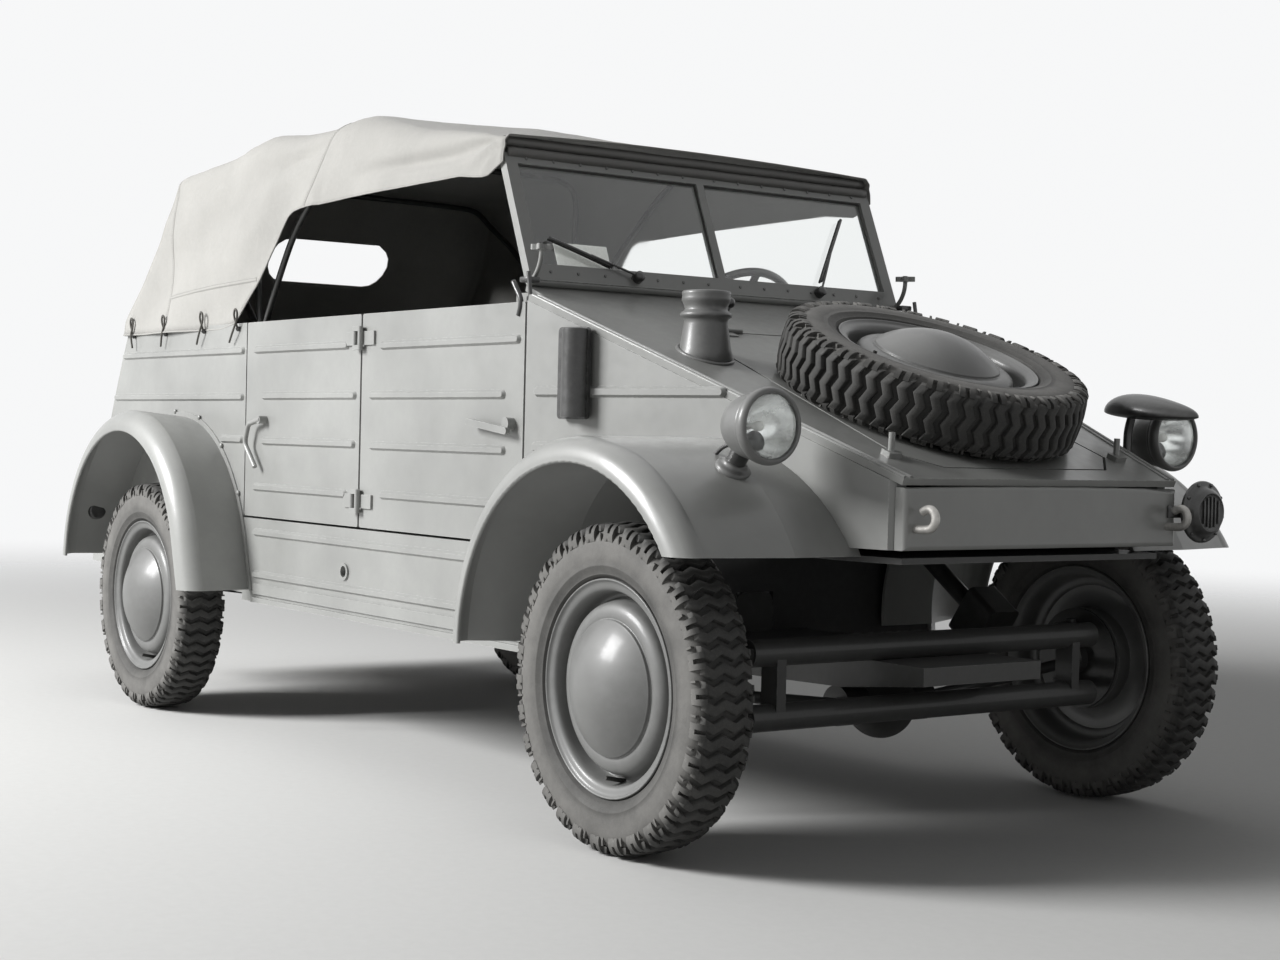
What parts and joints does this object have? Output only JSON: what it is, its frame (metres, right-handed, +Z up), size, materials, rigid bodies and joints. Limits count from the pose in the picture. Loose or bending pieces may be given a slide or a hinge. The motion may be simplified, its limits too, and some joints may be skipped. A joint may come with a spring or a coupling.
{
  "type": "army 4x4 car",
  "caption": "Open army car with ribbed flat sides, a folding canvas top, flared fenders, a sloping hood with the spare wheel on it, doors hung on the middle post and steered wheels.",
  "frame": {"origin": "middle of the car's outline, on the ground under the tyres", "axes": "+X forward, +Y to the car's left, +Z up"},
  "size_m": [3.7399, 1.6, 1.6668],
  "materials": {
    "body_paint": "semi-gloss field grey paint, worn along the edges",
    "wheel_paint": "semi-gloss grey paint",
    "tyre_rubber": "matt weathered rubber",
    "pane_glass": "clear",
    "canvas": "proofed cotton duck",
    "seat_cloth": "padded cloth",
    "black_paint": "black enamel",
    "chassis_metal": "dull black chassis paint",
    "engine_metal": "cast, oily",
    "exhaust_metal": "heat-stained steel",
    "lamp_red": "red lens in a black case"
  },
  "bodies": {
    "root": {"floor_pan": "body_paint", "rear_floor": "body_paint", "front_tub": "body_paint", "sills": "body_paint", "door_posts": "body_paint", "quarters": "body_paint", "tail_panel": "body_paint", "cowl_sides": "body_paint", "nose_panel": "body_paint", "front_deck": "body_paint", "front_fenders": "body_paint", "rear_fenders": "body_paint", "windscreen_frame": "body_paint", "windscreen_glass": "pane_glass", "wipers": "black_paint", "dashboard": "body_paint", "steering_column": "black_paint", "front_seat_pads": "seat_cloth", "rear_seat_pads": "seat_cloth", "seat_frames": "black_paint", "canvas_top": "canvas", "top_header": "body_paint", "top_bows": "black_paint", "headlamps": "body_paint", "night_lamp": "black_paint", "horn": "black_paint", "trafficators": "black_paint", "tow_hooks": "chassis_metal", "fuel_filler": "body_paint", "tail_lamps": "lamp_red", "controls": "black_paint", "front_axle_beam": "chassis_metal", "front_drive": "chassis_metal", "rear_axle": "chassis_metal", "engine": "engine_metal", "exhaust": "exhaust_metal"},
    "wheel_front_right": {"tyre_front_right": "tyre_rubber", "wheel_front_right": "wheel_paint"},
    "wheel_front_left": {"tyre_front_left": "tyre_rubber", "wheel_front_left": "wheel_paint"},
    "wheel_rear_right": {"tyre_rear_right": "tyre_rubber", "wheel_rear_right": "wheel_paint"},
    "wheel_rear_left": {"tyre_rear_left": "tyre_rubber", "wheel_rear_left": "wheel_paint"},
    "knuckle_right": {"knuckle_right": "chassis_metal"},
    "knuckle_left": {"knuckle_left": "chassis_metal"},
    "front_door_right": {"front_door_right": "body_paint"},
    "front_door_left": {"front_door_left": "body_paint"},
    "rear_door_right": {"rear_door_right": "body_paint"},
    "rear_door_left": {"rear_door_left": "body_paint"},
    "front_lid": {"front_lid": "body_paint", "spare_tyre": "tyre_rubber", "spare_wheel": "wheel_paint"},
    "engine_lid": {"engine_lid": "body_paint"},
    "steering_wheel": {"steering_wheel": "black_paint"}
  },
  "joints": [
    {"name": "steer_right", "type": "hinge", "parent": "root", "child": "knuckle_right", "pos_m": [1.33, -0.605, 0.332], "axis": [0, 0, 1], "range_deg": [-30, 30]},
    {"name": "steer_left", "type": "hinge", "parent": "root", "child": "knuckle_left", "pos_m": [1.33, 0.605, 0.332], "axis": [0, 0, 1], "range_deg": [-30, 30]},
    {"name": "steering_wheel_turn", "type": "hinge", "parent": "root", "child": "steering_wheel", "pos_m": [0.38, 0.3, 1.109], "axis": [-0.8192, 0, 0.5736], "range_deg": [-421, 421]},
    {"name": "spin_front_right", "type": "hinge", "parent": "knuckle_right", "child": "wheel_front_right", "pos_m": [1.33, -0.68, 0.332], "axis": [0, 1, 0], "continuous": true},
    {"name": "spin_front_left", "type": "hinge", "parent": "knuckle_left", "child": "wheel_front_left", "pos_m": [1.33, 0.68, 0.332], "axis": [0, 1, 0], "continuous": true},
    {"name": "spin_rear_right", "type": "hinge", "parent": "root", "child": "wheel_rear_right", "pos_m": [-1.07, -0.68, 0.332], "axis": [0, 1, 0], "continuous": true},
    {"name": "spin_rear_left", "type": "hinge", "parent": "root", "child": "wheel_rear_left", "pos_m": [-1.07, 0.68, 0.332], "axis": [0, 1, 0], "continuous": true},
    {"name": "front_door_right_hinge", "type": "hinge", "parent": "root", "child": "front_door_right", "pos_m": [0.031, -0.612, 0.86], "axis": [0, 0, -1], "range_deg": [0, 80]},
    {"name": "front_door_left_hinge", "type": "hinge", "parent": "root", "child": "front_door_left", "pos_m": [0.031, 0.612, 0.86], "axis": [0, 0, 1], "range_deg": [0, 80]},
    {"name": "rear_door_right_hinge", "type": "hinge", "parent": "root", "child": "rear_door_right", "pos_m": [0.003, -0.612, 0.86], "axis": [0, 0, 1], "range_deg": [0, 80]},
    {"name": "rear_door_left_hinge", "type": "hinge", "parent": "root", "child": "rear_door_left", "pos_m": [0.003, 0.612, 0.86], "axis": [0, 0, -1], "range_deg": [0, 80]},
    {"name": "front_lid_hinge", "type": "hinge", "parent": "root", "child": "front_lid", "pos_m": [0.9863, 0, 1.07877], "axis": [0, -1, 0], "range_deg": [0, 55]},
    {"name": "engine_lid_hinge", "type": "hinge", "parent": "root", "child": "engine_lid", "pos_m": [-1.70357, 0, 0.85144], "axis": [0, 1, 0], "range_deg": [0, 60]}
  ],
  "couplings": [
    {"joint": "steer_left", "follows": "steer_right", "ratio": 1},
    {"joint": "steering_wheel_turn", "follows": "steer_right", "ratio": 14}
  ]
}
